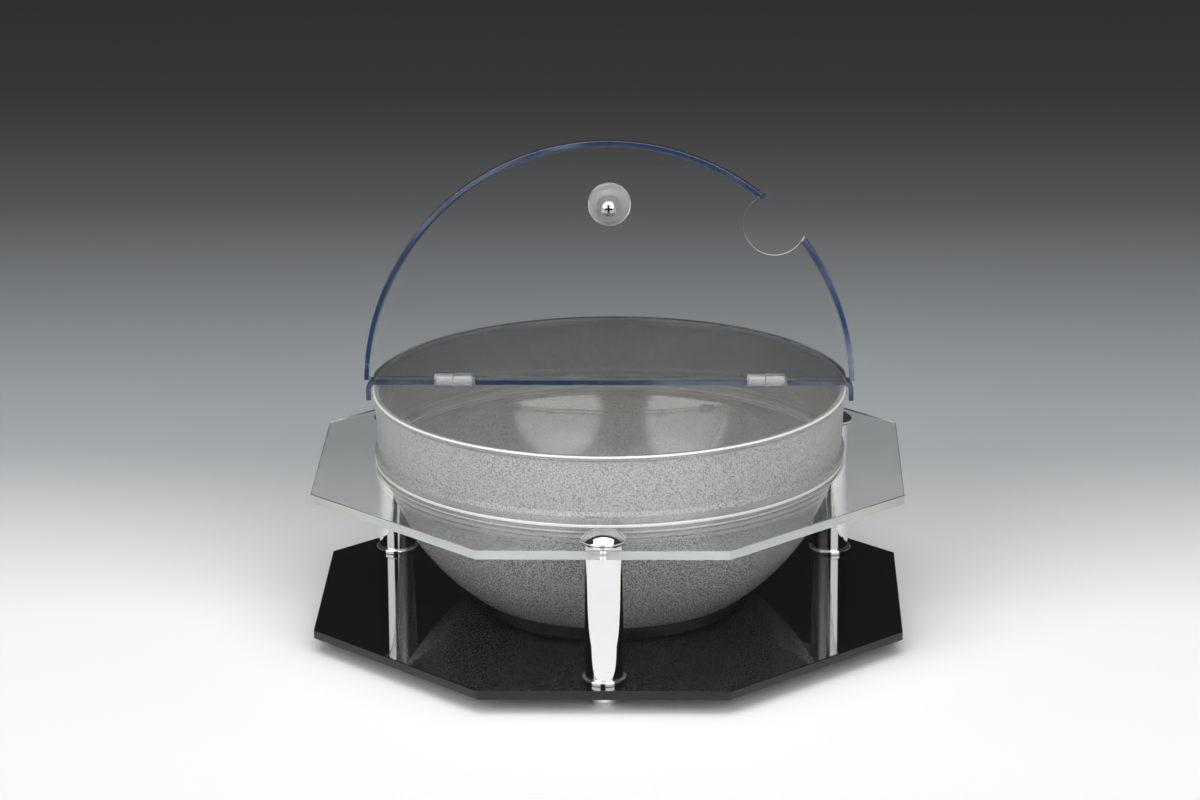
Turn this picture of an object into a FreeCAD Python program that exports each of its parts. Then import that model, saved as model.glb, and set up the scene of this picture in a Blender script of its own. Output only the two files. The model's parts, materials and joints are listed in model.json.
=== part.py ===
"""Covered display stand for a bowl.

A clear bowl hangs in the round hole of an octagonal ring plate, which stands on three tubular posts over an
octagonal base. The lid is two half-discs with turned-down rims. The rear leaf lies on the bowl's rim, and the
front leaf swings on two barrel hinges and stands open on the hinges' stop heels.

Millimetres and degrees. +Z is up and the front faces -Y. The origin is on the table, under the centre of the
octagons. Every piece is placed as it stands with the front leaf open.
"""
import FreeCAD
import Part
import math
import os

from FreeCAD import Vector

# Bowl, heights from its outside bottom
BOWL_HEIGHT = 135.5
BOWL_BODY_RADIUS = 154.3
BOWL_FLOOR_RADIUS = 87.6
BOWL_FLOOR_ROUND = 12.0
BOWL_WALL = 3.0
BOWL_SEAT_HEIGHT = 87.0
COLLAR_STANDOUT = 2.0
COLLAR_BAND = 6.0
COLLAR_BEAD_HEIGHT = 6.0
COLLAR_BEAD_STANDOUT = 0.6
RIM_BEAD_HEIGHT = 3.4
RIM_BEAD_STANDOUT = 1.2
RIM_RADIUS = 152.4
RIM_INNER_ROUND = 1.0
BOWL_FLOOR_GAP = 4.0

# Plates
PLATE_SIDES = 8
BASE_THICK = 6.0
RING_THICK = 6.0
PLATE_CHAMFER = 0.5
PLATE_MARGIN = 6.5
BOWL_HOLE_CLEARANCE = 0.5

# Posts
POST_NAMES = ("front", "right", "left")
FIRST_POST_ANGLE = -90.0
TUBE_DIAMETER = 24.0
TUBE_WALL = 1.5
POST_RING_DIAMETER = 28.0
POST_RING_HEIGHT = 3.2
POST_RING_ROUND = 1.2
SPIGOT_HEIGHT = 8.0
BUSH_LENGTH = 12.0
TUBE_FIT = 0.05
ROD_DIAMETER = 8.0
ROD_FIT = 0.05
ROD_HOLE_CLEARANCE = 0.25
ROD_END_GAP = 0.5

# Caps and feet
CAP_DIAMETER = 28.0
CAP_HEIGHT = 7.0
CAP_BRIM = 1.2
CAP_CROWN = 2.5
CAP_BOWL_GAP = 2.0
NECK_DIAMETER = 12.5
NECK_REACH = 9.0
NECK_CLEARANCE = 0.25
FOOT_DIAMETER = 16.5
FOOT_HEIGHT = 10.0
FOOT_ROUND = 4.0
FOOT_CHAMFER = 0.6
FOOT_FLOOR = 2.5

# Lid
LID_THICK = 3.0
LID_RIM_GAP = 1.6
LID_BEND = 6.0
LID_SKIRT_DEPTH = 13.5
LID_END_CHAMFER = 0.4
LEAF_GAP = 2.5
LID_SEAT_GAP = 0.05
LID_OPEN_ANGLE = 96.0
NOTCH_RADIUS = 20.0
NOTCH_INSET = 10.0
NOTCH_ANGLE = -43.9

# Lid hinges
HINGE_INSET = 56.5
AXIS_RISE = 0.3
BARREL_DIAMETER = 9.8
BARREL_ROUND = 0.6
KNUCKLE_LENGTH = 11.85
KNUCKLE_GAP = 0.3
REBATE_DEPTH = 1.2
SWEEP_GAP = 0.3
HEEL_LAP = 3.5
HEEL_THICK = 2.0
HEEL_GAP = 0.05
PIN_DIAMETER = 4.5
PIN_FIT = 0.03
PIN_BLIND = 1.5
PIN_STANDOUT = 2.0
PIN_ROUND = 0.8
PIN_END_GAP = 0.5

# Knob and its screw
KNOB_INSET = 45.0
KNOB_DIAMETER = 28.0
KNOB_HEIGHT = 29.0
KNOB_FOOT_DIAMETER = 17.0
KNOB_FOOT_HEIGHT = 1.5
KNOB_NECK_DIAMETER = 13.0
KNOB_NECK_HEIGHT = 6.0
KNOB_WIDEST_HEIGHT = 19.0
KNOB_CROWN_DIAMETER = 17.0
KNOB_CROWN_DROP = 1.6
SCREW_DIAMETER = 4.0
SCREW_REACH = 12.0
SCREW_FIT = 0.05
SCREW_HOLE_CLEARANCE = 0.25
SCREW_END_GAP = 1.0
SCREW_HEAD_DIAMETER = 10.0
SCREW_HEAD_HEIGHT = 2.4
SCREW_HEAD_EDGE = 0.6
RECESS_LENGTH = 5.0
RECESS_WIDTH = 1.2
RECESS_DEPTH = 1.3

# Bowl geometry that follows from its sizes
body_centre = math.sqrt(BOWL_BODY_RADIUS ** 2 - BOWL_FLOOR_RADIUS ** 2)
seat_drop = body_centre - BOWL_SEAT_HEIGHT
seat_radius = math.sqrt(BOWL_BODY_RADIUS ** 2 - seat_drop ** 2)
collar_radius = seat_radius + COLLAR_STANDOUT
rim_wall_radius = RIM_RADIUS - RIM_BEAD_STANDOUT

# Post circle and plate outline follow the bowl's collar and the caps
cap_radius = CAP_DIAMETER / 2
post_circle = collar_radius + CAP_BOWL_GAP + cap_radius
plate_apothem = post_circle + cap_radius + PLATE_MARGIN

post_angles = {}
for post_index, post_name in enumerate(POST_NAMES):
    post_angles[post_name] = FIRST_POST_ANGLE + post_index * 360 / len(POST_NAMES)

# Levels above the table
base_bottom = FOOT_HEIGHT
base_top = base_bottom + BASE_THICK
bowl_bottom = base_top + BOWL_FLOOR_GAP
ring_top = bowl_bottom + BOWL_SEAT_HEIGHT
ring_bottom = ring_top - RING_THICK
tube_bottom = base_top + POST_RING_HEIGHT
rim_top = bowl_bottom + BOWL_HEIGHT
lid_bottom = rim_top + LID_SEAT_GAP
lid_top = lid_bottom + LID_THICK
axis_height = lid_top + AXIS_RISE

# Radii shared by mating pieces
tube_bore = TUBE_DIAMETER / 2 - TUBE_WALL
rod_radius = ROD_DIAMETER / 2
rod_socket = rod_radius + ROD_FIT
neck_radius = NECK_DIAMETER / 2
lid_radius = RIM_RADIUS + LID_RIM_GAP + LID_THICK
barrel_radius = BARREL_DIAMETER / 2
rebate_face = barrel_radius - REBATE_DEPTH
sweep_radius = barrel_radius + SWEEP_GAP
pin_radius = PIN_DIAMETER / 2
screw_radius = SCREW_DIAMETER / 2
hinge_offset = lid_radius - HINGE_INSET
knob_distance = lid_radius - KNOB_INSET

UP = Vector(0, 0, 1)
ALONG_X = Vector(1, 0, 0)
ORIGIN = Vector(0, 0, 0)


class Outline:
    """A closed half-section in the XZ plane, drawn with lines and arcs and turned about the Z axis."""

    def __init__(self, radius, height):
        self.start = Vector(radius, 0, height)
        self.here = self.start
        self.edges = []

    def line(self, radius, height):
        """Draw a straight edge to a point."""
        there = Vector(radius, 0, height)
        self.edges.append(Part.LineSegment(self.here, there).toShape())
        self.here = there
        return self

    def arc(self, through, to):
        """Draw a round edge through one point to another."""
        middle = Vector(through[0], 0, through[1])
        there = Vector(to[0], 0, to[1])
        self.edges.append(Part.Arc(self.here, middle, there).toShape())
        self.here = there
        return self

    def swing(self, centre, radius, first, last):
        """Draw a round edge about a centre, from one angle to another."""
        return self.arc(polar(centre, radius, (first + last) / 2), polar(centre, radius, last))

    def turned(self):
        """Close the section and turn it into a solid."""
        self.line(self.start.x, self.start.z)
        return Part.Face(Part.Wire(self.edges)).revolve(ORIGIN, UP, 360)


def polar(centre, radius, angle):
    """Point of the section at an angle on a circle."""
    turn = math.radians(angle)
    return centre[0] + radius * math.cos(turn), centre[1] + radius * math.sin(turn)


def block(low, high):
    """Box between two corners."""
    size = Vector(*high) - Vector(*low)
    return Part.makeBox(size.x, size.y, size.z, Vector(*low))


def rod_along_x(radius, first, last):
    """Round bar on the hinge axis between two X positions."""
    return Part.makeCylinder(radius, last - first, Vector(first, 0, axis_height), ALONG_X)


def post_place(angle):
    """Centre of a post on the table."""
    turn = math.radians(angle)
    return Vector(post_circle * math.cos(turn), post_circle * math.sin(turn), 0)


def opened(shape):
    """A piece of the closed front lid, swung open to its stops."""
    return shape.rotate(Vector(0, 0, axis_height), ALONG_X, -LID_OPEN_ANGLE)


def octagon_plate(bottom, thick):
    """Flat plate with one flat facing the front and its outer edges chamfered."""
    half_turn = math.pi / PLATE_SIDES
    corner_radius = plate_apothem / math.cos(half_turn)
    corners = []
    for index in range(PLATE_SIDES + 1):
        turn = (2 * index + 1) * half_turn
        corners.append(Vector(corner_radius * math.cos(turn), corner_radius * math.sin(turn), bottom))
    plate = Part.Face(Part.makePolygon(corners)).extrude(Vector(0, 0, thick))
    rims = [edge for edge in plate.Edges if abs(edge.tangentAt(edge.FirstParameter).z) < 0.5]
    return plate.makeChamfer(PLATE_CHAMFER, rims)


def drilled(plate, radius, bottom, thick):
    """Plate with a round hole at each post."""
    for angle in post_angles.values():
        plate = plate.cut(Part.makeCylinder(radius, thick, post_place(angle) + Vector(0, 0, bottom)))
    return plate


def base_plate():
    plate = octagon_plate(base_bottom, BASE_THICK)
    return drilled(plate, rod_radius + ROD_HOLE_CLEARANCE, base_bottom, BASE_THICK)


def ring_plate():
    plate = octagon_plate(ring_bottom, RING_THICK)
    hole = seat_radius + BOWL_HOLE_CLEARANCE
    plate = plate.cut(Part.makeCylinder(hole, RING_THICK, Vector(0, 0, ring_bottom)))
    return drilled(plate, neck_radius + NECK_CLEARANCE, ring_bottom, RING_THICK)


def foot():
    radius = FOOT_DIAMETER / 2
    section = Outline(0, 0).line(radius - FOOT_ROUND, 0)
    section.swing((radius - FOOT_ROUND, FOOT_ROUND), FOOT_ROUND, -90, 0)
    section.line(radius, FOOT_HEIGHT - FOOT_CHAMFER).line(radius - FOOT_CHAMFER, FOOT_HEIGHT)
    section.line(rod_socket, FOOT_HEIGHT).line(rod_socket, FOOT_FLOOR).line(0, FOOT_FLOOR)
    return section.turned()


def post_ring():
    """Flange on the base with a spigot that centres the tube."""
    radius = POST_RING_DIAMETER / 2
    spigot = tube_bore - TUBE_FIT
    bore = rod_radius + ROD_HOLE_CLEARANCE
    section = Outline(bore, base_top).line(radius, base_top).line(radius, tube_bottom - POST_RING_ROUND)
    section.swing((radius - POST_RING_ROUND, tube_bottom - POST_RING_ROUND), POST_RING_ROUND, 0, 90)
    section.line(spigot, tube_bottom).line(spigot, tube_bottom + SPIGOT_HEIGHT)
    section.line(bore, tube_bottom + SPIGOT_HEIGHT)
    return section.turned()


def post_tube():
    outside = TUBE_DIAMETER / 2
    section = Outline(tube_bore, tube_bottom).line(outside, tube_bottom).line(outside, ring_bottom)
    return section.line(tube_bore, ring_bottom).turned()


def post_bush():
    """Plug in the tube's top end that guides the cap's neck."""
    outside = tube_bore - TUBE_FIT
    bore = neck_radius + NECK_CLEARANCE
    low = ring_bottom - BUSH_LENGTH
    section = Outline(bore, low).line(outside, low).line(outside, ring_bottom)
    return section.line(bore, ring_bottom).turned()


def post_rod():
    """Threaded rod from the foot's socket to the cap's socket, drawn at its outside diameter."""
    low = FOOT_FLOOR + ROD_END_GAP
    high = ring_top - CAP_CROWN - ROD_END_GAP
    return Part.makeCylinder(rod_radius, high - low, Vector(0, 0, low))


def post_cap():
    """Domed cap with a socketed neck that passes through the ring plate into the bush."""
    neck_end = ring_bottom - NECK_REACH
    dome_rise = CAP_HEIGHT - CAP_BRIM
    dome_radius = (cap_radius ** 2 + dome_rise ** 2) / (2 * dome_rise)
    dome_centre = (0, ring_top + CAP_HEIGHT - dome_radius)
    brim_angle = math.degrees(math.acos(cap_radius / dome_radius))
    section = Outline(rod_socket, neck_end).line(neck_radius, neck_end).line(neck_radius, ring_top)
    section.line(cap_radius, ring_top).line(cap_radius, ring_top + CAP_BRIM)
    section.swing(dome_centre, dome_radius, brim_angle, 90)
    section.line(0, ring_top - CAP_CROWN).line(rod_socket, ring_top - CAP_CROWN)
    return section.turned()


def bowl():
    """Round body with a flat bottom, a seat collar that stands on the ring plate and a beaded rim."""
    round_centre_radius = math.sqrt((BOWL_BODY_RADIUS - BOWL_FLOOR_ROUND) ** 2
                                    - (body_centre - BOWL_FLOOR_ROUND) ** 2)
    round_centre = (round_centre_radius, bowl_bottom + BOWL_FLOOR_ROUND)
    centre = (0, bowl_bottom + body_centre)
    round_end = math.degrees(math.atan2(BOWL_FLOOR_ROUND - body_centre, round_centre_radius))
    inner_radius = BOWL_BODY_RADIUS - BOWL_WALL
    seat_angle = -math.degrees(math.asin(seat_drop / BOWL_BODY_RADIUS))
    inner_seat_angle = -math.degrees(math.asin(seat_drop / inner_radius))
    band_top = ring_top + COLLAR_BAND
    bead_top = band_top + COLLAR_BEAD_HEIGHT
    bead_share = (bead_top - ring_top) / (rim_top - RIM_BEAD_HEIGHT - ring_top)
    bead_foot = seat_radius + (rim_wall_radius - seat_radius) * bead_share
    rim_inside = rim_wall_radius - BOWL_WALL

    section = Outline(0, bowl_bottom).line(round_centre_radius, bowl_bottom)
    section.swing(round_centre, BOWL_FLOOR_ROUND, -90, round_end)
    section.swing(centre, BOWL_BODY_RADIUS, round_end, seat_angle)
    section.line(collar_radius, ring_top).line(collar_radius, band_top)
    section.arc((collar_radius + COLLAR_BEAD_STANDOUT, (band_top + bead_top) / 2), (bead_foot, bead_top))
    section.line(rim_wall_radius, rim_top - RIM_BEAD_HEIGHT)
    section.arc((RIM_RADIUS, rim_top - RIM_BEAD_HEIGHT / 2), (rim_wall_radius, rim_top))
    section.line(rim_inside + RIM_INNER_ROUND, rim_top)
    section.swing((rim_inside + RIM_INNER_ROUND, rim_top - RIM_INNER_ROUND), RIM_INNER_ROUND, 90, 180)
    section.line(*polar(centre, inner_radius, inner_seat_angle))
    section.swing(centre, inner_radius, inner_seat_angle, round_end)
    section.swing(round_centre, BOWL_FLOOR_ROUND - BOWL_WALL, round_end, -90)
    section.line(0, bowl_bottom + BOWL_WALL)
    return section.turned()


def lid_disc():
    """Whole lid: a flat disc whose edge is bent down into a skirt outside the bowl's rim."""
    bend_radius = lid_radius - LID_BEND
    bend_centre = (bend_radius, lid_top - LID_BEND)
    skirt_inside = lid_radius - LID_THICK
    skirt_end = lid_top - LID_SKIRT_DEPTH
    chamfer_top = skirt_end + LID_END_CHAMFER
    section = Outline(0, lid_bottom).line(bend_radius, lid_bottom)
    section.swing(bend_centre, LID_BEND - LID_THICK, 90, 0)
    section.line(skirt_inside, chamfer_top).line(skirt_inside + LID_END_CHAMFER, skirt_end)
    section.line(lid_radius - LID_END_CHAMFER, skirt_end).line(lid_radius, chamfer_top)
    section.line(lid_radius, lid_top - LID_BEND)
    section.swing(bend_centre, LID_BEND, 0, 90)
    section.line(0, lid_top)
    return section.turned()


def knuckle_spans(hinge_x):
    """X spans of a hinge's rear and front knuckles, from -X to +X."""
    half = KNUCKLE_LENGTH + KNUCKLE_GAP / 2
    rear = (hinge_x - half, hinge_x - KNUCKLE_GAP / 2)
    front = (hinge_x + KNUCKLE_GAP / 2, hinge_x + half)
    return rear, front


def lid_slab(first_x, last_x, first_y, last_y):
    """Upright block through the whole depth of the lid, for cutting a leaf."""
    return block((first_x, first_y, lid_top - 2 * LID_SKIRT_DEPTH), (last_x, last_y, lid_top + LID_THICK))


def rear_lid_leaf(hinges):
    """Rear half of the lid, notched round the barrels and round the end of each pin."""
    span = lid_radius + LID_THICK
    leaf = lid_disc().cut(lid_slab(-span, span, -span, 0))
    for hinge_x in hinges.values():
        rear, front = knuckle_spans(hinge_x)
        leaf = leaf.cut(lid_slab(rear[0], rear[1], 0, rebate_face))
        leaf = leaf.cut(lid_slab(rear[1], front[1] + PIN_STANDOUT + PIN_END_GAP, 0, sweep_radius))
    return leaf


def front_lid_leaf(hinges):
    """Front half of the lid, closed: cut back from the hinge axis, with the notch and the screw hole."""
    span = lid_radius + LID_THICK
    leaf = lid_disc().cut(lid_slab(-span, span, -LEAF_GAP, span))
    for hinge_x in hinges.values():
        rear, front = knuckle_spans(hinge_x)
        leaf = leaf.cut(lid_slab(rear[0] - PIN_END_GAP, front[0], -sweep_radius, 0))
        leaf = leaf.cut(lid_slab(front[0], front[1] + PIN_STANDOUT + PIN_END_GAP, -rebate_face, 0))
    low = lid_top - 2 * LID_SKIRT_DEPTH
    depth = lid_top + LID_THICK - low
    notch = polar((0, 0), lid_radius - NOTCH_INSET, NOTCH_ANGLE)
    leaf = leaf.cut(Part.makeCylinder(NOTCH_RADIUS, depth, Vector(notch[0], notch[1], low)))
    hole = screw_radius + SCREW_HOLE_CLEARANCE
    return leaf.cut(Part.makeCylinder(hole, depth, Vector(0, -knob_distance, low)))


def barrel(first, last):
    """Knuckle blank with its end edges rounded."""
    blank = rod_along_x(barrel_radius, first, last)
    ends = [edge for edge in blank.Edges if edge.Closed]
    return blank.makeFillet(BARREL_ROUND, ends)


def rear_knuckle(span, leaf):
    """Barrel cemented into the rear leaf's notch, with a blind bore that holds the pin."""
    bore = rod_along_x(pin_radius + PIN_FIT, span[0] + PIN_BLIND, span[1])
    return barrel(*span).cut(bore).cut(leaf)


def front_knuckle(span, open_leaf):
    """Barrel cemented to the front leaf, with a heel that lands on the rear leaf and stops the lid."""
    heel = block((span[0] + BARREL_ROUND, 0, lid_top + HEEL_GAP),
                 (span[1] - BARREL_ROUND, sweep_radius + HEEL_LAP, lid_top + HEEL_THICK))
    bore = rod_along_x(pin_radius + PIN_FIT, *span)
    return barrel(*span).fuse(heel).removeSplitter().cut(bore).cut(open_leaf)


def hinge_pin(rear, front):
    """Pin from the bottom of the rear knuckle's bore to just past the front knuckle."""
    pin = rod_along_x(pin_radius, rear[0] + PIN_BLIND, front[1] + PIN_STANDOUT)
    ends = [edge for edge in pin.Edges if edge.Closed]
    return pin.makeFillet(PIN_ROUND, ends)


def curve_middle(upright, end):
    """Middle of the round edge that leaves one point upright and ends at another."""
    inset = upright[0] - end[0]
    rise = end[1] - upright[1]
    radius = (inset ** 2 + rise ** 2) / (2 * inset)
    angle = math.degrees(math.asin(rise / radius))
    return polar((upright[0] - radius, upright[1]), radius, angle / 2)


def lid_knob():
    """Turned knob on the closed front leaf, with a blind hole for its screw."""
    socket = screw_radius + SCREW_FIT
    foot_radius = KNOB_FOOT_DIAMETER / 2
    neck = (KNOB_NECK_DIAMETER / 2, lid_top + KNOB_NECK_HEIGHT)
    foot_top = lid_top + KNOB_FOOT_HEIGHT
    widest = (KNOB_DIAMETER / 2, lid_top + KNOB_WIDEST_HEIGHT)
    crown = (KNOB_CROWN_DIAMETER / 2, lid_top + KNOB_HEIGHT - KNOB_CROWN_DROP)
    crown_sphere = (crown[0] ** 2 + KNOB_CROWN_DROP ** 2) / (2 * KNOB_CROWN_DROP)
    crown_centre = (0, lid_top + KNOB_HEIGHT - crown_sphere)
    crown_angle = math.degrees(math.acos(crown[0] / crown_sphere))
    socket_end = lid_top + SCREW_REACH + SCREW_END_GAP
    section = Outline(socket, lid_top).line(foot_radius, lid_top).line(foot_radius, foot_top)
    section.arc(curve_middle(neck, (foot_radius, foot_top)), neck)
    section.arc(curve_middle(widest, neck), widest)
    section.arc(curve_middle(widest, crown), crown)
    section.swing(crown_centre, crown_sphere, crown_angle, 90)
    section.line(0, socket_end).line(socket, socket_end)
    return section.turned().translate(Vector(0, -knob_distance, 0))


def knob_screw():
    """Dome-headed screw with a cross recess, up through the closed front leaf into the knob."""
    head_radius = SCREW_HEAD_DIAMETER / 2
    edge = lid_bottom - SCREW_HEAD_EDGE
    head_end = lid_bottom - SCREW_HEAD_HEIGHT
    dome_rise = SCREW_HEAD_HEIGHT - SCREW_HEAD_EDGE
    dome_radius = (head_radius ** 2 + dome_rise ** 2) / (2 * dome_rise)
    edge_angle = -math.degrees(math.acos(head_radius / dome_radius))
    section = Outline(0, lid_top + SCREW_REACH).line(screw_radius, lid_top + SCREW_REACH)
    section.line(screw_radius, lid_bottom).line(head_radius, lid_bottom).line(head_radius, edge)
    section.swing((0, head_end + dome_radius), dome_radius, edge_angle, -90)
    screw = section.turned()
    half_length = RECESS_LENGTH / 2
    half_width = RECESS_WIDTH / 2
    recess_top = head_end + RECESS_DEPTH
    screw = screw.cut(block((-half_length, -half_width, head_end), (half_length, half_width, recess_top)))
    screw = screw.cut(block((-half_width, -half_length, head_end), (half_width, half_length, recess_top)))
    return screw.translate(Vector(0, -knob_distance, 0))


def stand_pieces():
    """Base, ring plate and the six pieces of each post."""
    pieces = {"base_plate": base_plate(), "ring_plate": ring_plate()}
    for side, angle in post_angles.items():
        place = post_place(angle)
        pieces[side + "_foot"] = foot().translate(place)
        pieces[side + "_post_ring"] = post_ring().translate(place)
        pieces[side + "_post_tube"] = post_tube().translate(place)
        pieces[side + "_post_bush"] = post_bush().translate(place)
        pieces[side + "_post_rod"] = post_rod().translate(place)
        pieces[side + "_post_cap"] = post_cap().translate(place)
    return pieces


def lid_pieces():
    """Both leaves, the hinges, and the knob with its screw."""
    hinges = {"left": -hinge_offset, "right": hinge_offset}
    rear_leaf = rear_lid_leaf(hinges)
    front_leaf = opened(front_lid_leaf(hinges))
    pieces = {"rear_lid_leaf": rear_leaf, "front_lid_leaf": front_leaf}
    for side, hinge_x in hinges.items():
        rear, front = knuckle_spans(hinge_x)
        pieces[side + "_hinge_rear_knuckle"] = rear_knuckle(rear, rear_leaf)
        pieces[side + "_hinge_front_knuckle"] = front_knuckle(front, front_leaf)
        pieces[side + "_hinge_pin"] = hinge_pin(rear, front)
    pieces["lid_knob"] = opened(lid_knob())
    pieces["knob_screw"] = opened(knob_screw())
    return pieces


def main():
    os.makedirs("parts", exist_ok=True)
    pieces = {**stand_pieces(), "bowl": bowl(), **lid_pieces()}
    for name, shape in pieces.items():
        shape.exportStep("parts/" + name + ".step")


main()
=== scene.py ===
"""Looks of the covered display stand: its finishes, its dressed meshes, and the studio round it.

Metres, +Z up, front towards -Y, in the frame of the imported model, with the front leaf of the lid open.
"""
import json
import logging
import math
from dataclasses import dataclass, replace
from enum import Enum, IntEnum

import bmesh
import bpy
from bmesh.types import BMEdge, BMesh, BMVert
from bpy.types import Material, Node, NodeSocket, NodeTree, Object
from mathutils import Matrix, Vector


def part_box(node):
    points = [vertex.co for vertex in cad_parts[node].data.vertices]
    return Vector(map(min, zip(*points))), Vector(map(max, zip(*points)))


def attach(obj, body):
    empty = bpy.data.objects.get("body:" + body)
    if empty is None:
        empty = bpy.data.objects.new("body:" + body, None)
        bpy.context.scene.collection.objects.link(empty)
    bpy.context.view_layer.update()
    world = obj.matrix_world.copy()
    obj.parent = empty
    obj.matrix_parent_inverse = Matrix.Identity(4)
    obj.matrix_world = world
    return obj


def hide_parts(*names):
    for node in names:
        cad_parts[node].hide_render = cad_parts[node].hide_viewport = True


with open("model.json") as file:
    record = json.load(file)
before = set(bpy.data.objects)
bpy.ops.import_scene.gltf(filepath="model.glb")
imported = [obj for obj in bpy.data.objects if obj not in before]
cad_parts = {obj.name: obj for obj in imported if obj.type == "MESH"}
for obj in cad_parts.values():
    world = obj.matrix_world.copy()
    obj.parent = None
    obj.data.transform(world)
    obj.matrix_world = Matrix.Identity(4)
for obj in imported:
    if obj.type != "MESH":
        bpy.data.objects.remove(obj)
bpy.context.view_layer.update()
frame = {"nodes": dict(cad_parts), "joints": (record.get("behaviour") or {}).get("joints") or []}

LOG = logging.getLogger("display_stand")

Point = tuple[float, float]
Span = tuple[float, float]
Triple = tuple[float, float, float]
Colour = tuple[float, float, float]

MERGE = 1e-6  # Points nearer than this count as one.
SHARP = math.radians(30)  # Edges that turn further than this are sharp.
SEAM = 0.00005  # Gap left between faces that touch.
BEVEL_SEGMENTS = 3  # Facets across a rounded edge.
CUTTER_REACH = 3  # Depth of a cutter, in depths of what it passes through.
RISING: Span = (0.0, 1.0)
FALLING: Span = (1.0, 0.0)


class Body(Enum):
    """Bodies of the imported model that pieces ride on."""

    STAND = "stand"
    BOWL = "bowl"
    REAR_LID = "rear_lid"
    FRONT_LID = "front_lid"


class Slot(Enum):
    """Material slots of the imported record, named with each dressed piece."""

    BLACK = "black_acrylic"
    CLEAR = "clear_acrylic"
    BOWL = "bowl_plastic"
    CHROME = "chrome"
    STEEL = "steel"


class Side(Enum):
    """The three posts, by where they stand."""

    FRONT = "front"
    RIGHT = "right"
    LEFT = "left"


class HingeSide(Enum):
    """The two lid hinges, with the sign of their X."""

    LEFT = -1
    RIGHT = 1


class Leaf(Enum):
    """The two halves of the lid, with the sign of their Y."""

    REAR = 1
    FRONT = -1


class SheetPart(IntEnum):
    """Parts of a clear sheet's surface, in the order of its finishes."""

    FACE = 0
    EDGE = 1
    HOLE = 2


class BowlPart(IntEnum):
    """Parts of the bowl's surface, in the order of its finishes."""

    UNDERSIDE = 0
    WALL = 1
    SHADED_BELLY = 2
    LINE = 3
    BAND = 4
    INSIDE = 5


class Wiring:
    """Nodes of a material or of the world."""

    def __init__(self, tree: NodeTree) -> None:
        """Take a node tree to add to."""
        self.tree = tree

    def feed(self, socket: NodeSocket, value: object) -> None:
        """Set an input to a constant, or link an output socket to it."""
        if isinstance(value, NodeSocket):
            self.tree.links.new(value, socket)
        else:
            socket.default_value = value

    def node(self, kind: str, inputs: dict | None = None, **settings: object) -> Node:
        """Add a node.

        Args:
            kind: Blender's name of the node type.
            inputs: Constants or sockets by the name or number of the input they go to.
            **settings: Properties of the node itself.

        Returns:
            The new node.
        """
        made = self.tree.nodes.new(kind)
        for key, value in settings.items():
            setattr(made, key, value)
        for key, value in (inputs or {}).items():
            self.feed(made.inputs[key], value)
        return made

    def ranged(self, value: NodeSocket, span: Span, result: Span, **settings: object) -> NodeSocket:
        """Map a number from one span to another, clamped."""
        ends = {"From Min": span[0], "From Max": span[1], "To Min": result[0], "To Max": result[1]}
        return self.node("ShaderNodeMapRange", {"Value": value, **ends}, **settings).outputs["Result"]


class Graph(Wiring):
    """Wiring of one material round its Principled shader."""

    def __init__(self, name: str) -> None:
        """Make a material with nothing but its shader and output."""
        self.material: Material = bpy.data.materials.new(name)
        self.material.use_nodes = True
        super().__init__(self.material.node_tree)
        self.coords: NodeSocket = self.node("ShaderNodeTexCoord").outputs["Object"]

    def dress(self, **values: object) -> None:
        """Set or link the shader's inputs, named with _ for a space."""
        for key, value in values.items():
            self.feed(self.tree.nodes["Principled BSDF"].inputs[key.replace("_", " ")], value)

    def noise(self, scale: float, detail: float = 4.0, coords: NodeSocket | None = None) -> NodeSocket:
        """Cloudy noise from 0 to 1 with that many features per metre and layers of finer detail."""
        values = {"Vector": coords or self.coords, "Scale": scale, "Detail": detail}
        return self.node("ShaderNodeTexNoise", values).outputs["Fac"]

    def lines(self, stretch: Triple, detail: float) -> NodeSocket:
        """Noise drawn out into fine lines, with its features per metre along each axis."""
        mapping = self.node("ShaderNodeMapping", {"Vector": self.coords, "Scale": stretch})
        return self.noise(1.0, detail, mapping.outputs["Vector"])

    def blended(self, share: NodeSocket, first: Colour, second: Colour) -> NodeSocket:
        """Colour that goes from a first to a second one as a share goes from 0 to 1."""
        values = {"Factor": share, "A": (*first, 1.0), "B": (*second, 1.0)}
        return self.node("ShaderNodeMix", values, data_type="RGBA").outputs["Result"]

    def bumped(self, height: NodeSocket, distance: float, under: NodeSocket | None = None) -> NodeSocket:
        """Surface normal of a relief.

        Args:
            height: The relief, from 0 to 1.
            distance: Its real height in metres.
            under: Another relief's normal that this one lies on.

        Returns:
            The normal.
        """
        values = {"Height": height, "Distance": distance, "Strength": 1.0}
        if under:
            values["Normal"] = under
        return self.node("ShaderNodeBump", values).outputs["Normal"]

    def absorb(self, tint: Colour, density: float) -> None:
        """Fill the piece with a clear tint that deepens along the light's way."""
        volume = self.node("ShaderNodeVolumeAbsorption", {"Color": (*tint, 1.0), "Density": density})
        self.tree.links.new(volume.outputs["Volume"], self.tree.nodes["Material Output"].inputs["Volume"])


@dataclass(frozen=True)
class Finish:
    """A surface finish that makes its material once."""

    name: str

    def material(self) -> Material:
        """The finish's material, made at its first use."""
        found = bpy.data.materials.get(self.name)
        if found:
            return found
        graph = Graph(self.name)
        self.wire(graph)
        return graph.material

    def wire(self, graph: Graph) -> None:
        """Wire the nodes of the finish; each kind of finish has its own way."""
        raise NotImplementedError


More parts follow.
